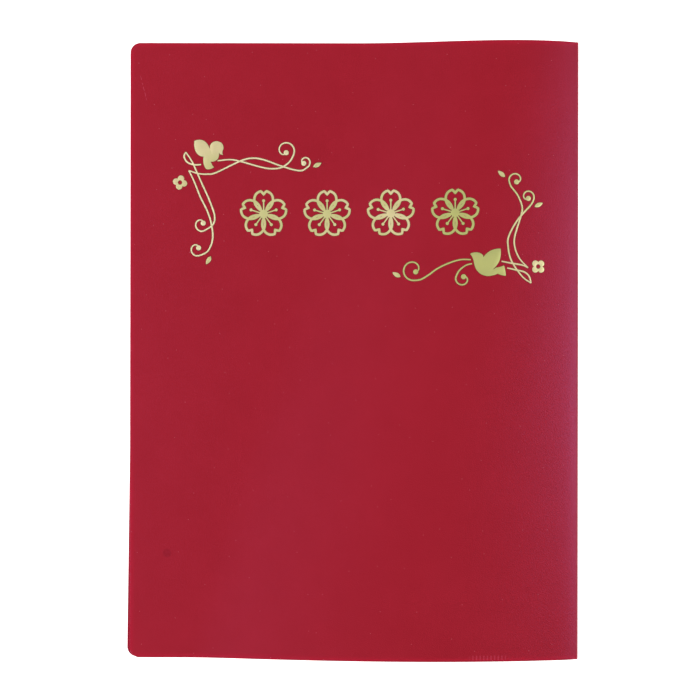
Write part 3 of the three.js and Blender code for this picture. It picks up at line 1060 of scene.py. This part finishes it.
headOrnament = {
    "corner": Vector((-cover["width"] / 2 + 31 * mm, headY - 64 * mm)),
    "dove": {
        "start": (10.3, 11.5),
        "curves": [(11, 14.7, 14, 14.7), (17.6, 14.3, 17.3, 10.8), (16.4, 9.4, 17.1, 7.7),
                   (15.9, 8.3, 15.1, 8.2), (15.2, 4.6, 11.1, 4.4), (11.3, 2.8, 12.7, 1.7),
                   (10.6, 0.3, 8.8, 0.7), (6.9, 2.6, 7.3, 6.9), (2.2, 7.5, 2.7, 14.9),
                   (7.8, 16.9, 10.3, 11.5)],
    },
    "vines": [
        {"path": [(14.4, 4.9), (20.7, 5.5), (26.3, 4.5), (37.3, 1.5), (43, 1), (47.3, 2), (50.9, 5),
                  (52.7, 8.6)],
         "curl": {"x": 48.6, "y": 9.9, "start": -10, "turn": 290, "from": 4.2, "to": 0.9}},
        {"path": [(0, 0), (4.7, -1.5), (9.2, -1.8), (13.7, -1), (25.8, 4.8), (31.8, 6.2), (37.3, 5.5),
                  (47.3, 2), (55.9, 0), (60.2, 2.4)],
         "curl": {"x": 58.2, "y": 4.2, "start": -25, "turn": 245, "from": 2.5, "to": 0.8}},
        {"path": [(-1.5, 9.2), (1.7, 4.3), (4.1, -1), (7, -7.5), (10.3, -14.8), (12.9, -22.4),
                  (12, -27.2), (7, -30.5)],
         "curl": {"x": 6.8, "y": -27, "start": -95, "turn": -210, "from": 3.5, "to": 0.8}},
        {"path": [(0, 0), (2.7, -5.5), (5.7, -13), (9.2, -20.1), (11.3, -26.6), (12, -34), (9.6, -40.3),
                  (4.8, -42.8)],
         "curl": {"x": 4.5, "y": -39.4, "start": -95, "turn": -210, "from": 3.4, "to": 0.8}},
        {"path": [(-1.5, 9.2), (-2.4, 7), (-0.8, 4.2), (2.6, 2.9), (6.1, 3)]},
    ],
    "leaves": [(64.4, 2.9, 26), (9.9, -45, 241)],
    "flower": (-4.4, -6, 77),
}

tailOrnament = {
    "corner": Vector((spineX - 26 * mm, headY - 113 * mm)),
    "dove": {
        "start": (-28.8, 6.9),
        "curves": [(-27.3, 7.7, -25.3, 7.6), (-23, 7.4, -22, 5.5), (-18.9, 9.6, -13.7, 9.5),
                   (-12.9, 3.6, -16.7, 0), (-14.2, 0.1, -12, 1.2), (-11.2, -1.4, -11.1, -4),
                   (-13.2, -3.8, -15.1, -2.9), (-17.7, -4.2, -20.6, -4.1), (-25.9, -3.2, -26.8, 2.4),
                   (-27.2, 5.3, -28.8, 6.9)],
    },
    "longVine": [
        {"path": [(-28.4, 4), (-33.3, 4), (-38.7, 2.5), (-44.7, -0.3), (-49.2, -3.5), (-53.2, -5.8),
                  (-57, -6.2)],
         "curl": {"x": -56.7, "y": -1.3, "start": -95, "turn": -295, "from": 4.9, "to": 1.3}},
    ],
    "shortVine": [
        {"path": [(-27.8, 2), (-30.8, 1.2), (-34.2, -1.5), (-35.9, -5)],
         "curl": {"x": -32.5, "y": -5.2, "start": 180, "turn": 235, "from": 3.4, "to": 0.9}},
    ],
    "cornerVines": [
        {"path": [(-13.2, 3.2), (-7.8, 2.2), (-2.6, 1.3), (0, 0)]},
        {"path": [(-10.4, -0.1), (-5.7, -1.1), (-2, -2), (0.5, -4.1), (1.5, -7.5)]},
        {"path": [(1.5, -7.5), (-3.1, -4.1), (-8.3, 3.5), (-10, 10.6), (-9.6, 15.8), (-5.2, 23.8),
                  (1.3, 31.2), (2.9, 34.3)],
         "curl": {"x": 0, "y": 35.2, "start": -15, "turn": 290, "from": 2.9, "to": 0.8}},
        {"path": [(0, 0), (-4.2, 4.5), (-6.5, 9.7), (-6.7, 15.5), (-3.4, 26.5), (-3.1, 30.6),
                  (-5.2, 35.9), (-8.6, 40.4), (-9.6, 43.4)],
         "curl": {"x": -6.3, "y": 43.4, "start": 180, "turn": -240, "from": 3.3, "to": 1}},
    ],
    "leaves": [(-13.3, 46.5, 139), (5.3, 31.3, 25), (-65.1, -3.3, 151)],
    "flower": (5.1, 0.7, 45),
}

blossomRow = {
    "firstX": -44.5 * mm,
    "lastX": 50.9 * mm,
    "fromHead": 85.7 * mm,
    "reach": 12 * mm,
    "petalWidth": 10.56 * mm,
    "line": 1.2 * mm,
    "notch": 1.7 * mm,
    "eye": 4.3 * mm,
    "stamen": 6.6 * mm,
    "stamenWidth": 0.65 * mm,
    "anther": 1.5 * mm,
    "stamenLift": 0.03 * mm,
    "antherLift": 0.04 * mm,
    "eyeLift": 0.05 * mm,
}
# a petal's shape, as shares of its reach or of its half width
petalShape = {
    "shoulder": 0.62,
    "shoulderPull": 0.4,
    "tip": 0.92,
    "tipWidth": 0.3,
    "notchPull": 0.4,
    "notchWidth": 0.12,
}


def petalLine(centre, angle):
    # the middle line of one petal's stroke, out from the eye, round a notched tip and back
    inset = blossomRow["line"] / 2
    reach = blossomRow["reach"] - inset
    half = blossomRow["petalWidth"] / 2 - inset
    foot = 1.5 * inset
    shoulder = reach * petalShape["shoulder"]
    pull = foot + (shoulder - foot) * petalShape["shoulderPull"]
    tip, tipHalf = reach * petalShape["tip"], half * petalShape["tipWidth"]
    dip, dipHalf = reach - blossomRow["notch"] * petalShape["notchPull"], half * petalShape["notchWidth"]

    def spot(along, across):
        return (centre.x + along * math.cos(angle) - across * math.sin(angle),
                centre.y + along * math.sin(angle) + across * math.cos(angle))
    return curvedOutline(spot(foot, 0), [
        (*spot(pull, half), *spot(shoulder, half)),
        (*spot(tip, half), *spot(reach, tipHalf)),
        (*spot(dip, dipHalf), *spot(reach - blossomRow["notch"], 0)),
        (*spot(dip, -dipHalf), *spot(reach, -tipHalf)),
        (*spot(tip, -half), *spot(shoulder, -half)),
        (*spot(pull, -half), *spot(foot, 0)),
    ], 6)


def makeBlossom(number):
    values = blossomRow
    centre = Vector((values["firstX"] + (values["lastX"] - values["firstX"]) * (number - 1) / 3,
                     headY - values["fromHead"]))
    pieces = []
    for i in range(5):
        angle = math.pi / 2 + i * 2 * math.pi / 5
        line = petalLine(centre, angle)
        level = foil["crossingStep"] * (i % 3)
        pieces.append(layRibbon([*line, line[0]], lambda share: values["line"], level))
        tip = centre + Vector((math.cos(angle), math.sin(angle))) * values["stamen"]
        stem = [centre.lerp(tip, k / 6) for k in range(7)]
        pieces.append(layRibbon(stem, lambda share: values["stamenWidth"], values["stamenLift"]))
        pieces.append(layFigure(discOutline(tip.x, tip.y, values["anther"], 20), values["antherLift"]))
    pieces.append(layFigure(discOutline(centre.x, centre.y, values["eye"]), values["eyeLift"]))
    finishFoil(pieces, f"goldBlossom{number}", f"foil_blossom_{number}")


for number in range(1, 5):
    makeBlossom(number)
makeDove("goldHeadDove", "foil_head_dove", headOrnament["corner"], headOrnament["dove"])
makeVines("goldHeadVines", "foil_head_vines", headOrnament["corner"], headOrnament["vines"])
for i, leaf in enumerate(headOrnament["leaves"], 1):
    makeLeaf(f"goldHeadLeaf{i}", f"foil_head_leaf_{i}", headOrnament["corner"], leaf)
makeFlower("goldHeadFlower", "foil_head_flower", headOrnament["corner"], headOrnament["flower"])
makeDove("goldTailDove", "foil_tail_dove", tailOrnament["corner"], tailOrnament["dove"])
makeVines("goldTailLongVine", "foil_tail_long_vine", tailOrnament["corner"], tailOrnament["longVine"])
makeVines("goldTailShortVine", "foil_tail_short_vine", tailOrnament["corner"], tailOrnament["shortVine"])
makeVines("goldTailCornerVines", "foil_tail_corner_vines", tailOrnament["corner"],
          tailOrnament["cornerVines"])
for i, leaf in enumerate(tailOrnament["leaves"], 1):
    makeLeaf(f"goldTailLeaf{i}", f"foil_tail_leaf_{i}", tailOrnament["corner"], leaf)
makeFlower("goldTailFlower", "foil_tail_flower", tailOrnament["corner"], tailOrnament["flower"])
print("foil made")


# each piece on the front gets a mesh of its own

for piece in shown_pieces():
    if piece.get("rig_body") == "front":
        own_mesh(piece)


# floor, light and camera

stage = {
    "floorSize": 6,
    "floorShade": 0.8,
    "floorGlow": 1,
    "worldLevel": 0.02,
    "floorDrop": 0.05 * mm,
    "floorRoughness": 0.9,
    "floorSpecular": 0.1,
}


def makeFloor():
    startFresh()
    bpy.ops.mesh.primitive_plane_add(size=stage["floorSize"], location=(0, 0, -stage["floorDrop"]))
    floor = nameIt("floor")
    material, nodes, links, shader = newMaterial("paleFloor")
    shader.inputs["Base Color"].default_value = (stage["floorShade"],) * 3 + (1,)
    shader.inputs["Roughness"].default_value = stage["floorRoughness"]
    shader.inputs["Specular IOR Level"].default_value = stage["floorSpecular"]
    path = nodes.new("ShaderNodeLightPath")
    # it glows for the camera and in the foil, and lights nothing
    seen = addMath(nodes, links, "MAXIMUM", path.outputs["Is Camera Ray"], path.outputs["Is Glossy Ray"])
    shader.inputs["Emission Color"].default_value = (1, 1, 1, 1)
    links.new(addMath(nodes, links, "MULTIPLY", seen, stage["floorGlow"]), shader.inputs["Emission Strength"])
    floor.data.materials.append(material)


def makeWorld():
    world = bpy.data.worlds.new("studio")
    world.use_nodes = True
    bpy.context.scene.world = world
    nodes, links = world.node_tree.nodes, world.node_tree.links
    background = nodes["Background"]
    background.inputs["Color"].default_value = (1, 1, 1, 1)
    path = nodes.new("ShaderNodeLightPath")
    level = nodes.new("ShaderNodeMapRange")
    level.inputs["To Min"].default_value = stage["worldLevel"]
    level.inputs["To Max"].default_value = 1
    links.new(path.outputs["Is Camera Ray"], level.inputs["Value"])
    links.new(level.outputs["Result"], background.inputs["Strength"])


# soft boxes round the cover, so low that the flat sheet doesn't mirror them, and two that give its sheen
lamps = {
    "westSoftbox": {"place": (-0.85, 0, 0.7), "size": (0.4, 0.9), "watts": 5.2},
    "eastSoftbox": {"place": (1.3, 0, 0.85), "size": (0.7, 1.4), "watts": 14.3},
    "headSoftbox": {"place": (-0.9, 0.9, 0.6), "size": (0.4, 0.4), "watts": 9.5},
    "tailSoftbox": {"place": (-0.9, -0.9, 0.6), "size": (0.4, 0.4), "watts": 4.6},
    "spineSheen": {"place": (1.1, -0.1, 0.85), "size": (0.2, 0.8), "watts": 5.2},
    "leftSheen": {"place": (-0.6, -0.5, 0.95), "size": (0.3, 0.6), "watts": 0.9},
}


def makeLamp(name):
    values = lamps[name]
    startFresh()
    bpy.ops.object.light_add(type="AREA", location=values["place"])
    lamp = bpy.context.object
    lamp.name = name
    lamp.data.shape = "RECTANGLE"
    lamp.data.size, lamp.data.size_y = values["size"]
    lamp.data.energy = values["watts"]
    lamp.rotation_euler = (-Vector(values["place"])).to_track_quat("-Z", "Y").to_euler()


view = {
    "place": (-0.00113, 0.0002, 0.65),
    "frameWidth": 0.3523,  # on the surface that the cover lies on
    "roll": 0.08,
    "sensor": 36,
}


def makeCamera():
    startFresh()
    bpy.ops.object.camera_add(location=view["place"], rotation=(0, 0, math.radians(view["roll"])))
    camera = bpy.context.object
    camera.name = "overhead"
    camera.data.sensor_width = view["sensor"]
    camera.data.lens = view["sensor"] * view["place"][2] / view["frameWidth"]
    bpy.context.scene.camera = camera


makeFloor()
makeWorld()
for name in lamps:
    makeLamp(name)
makeCamera()
bpy.context.scene.view_settings.view_transform = "Standard"
print("stage made")
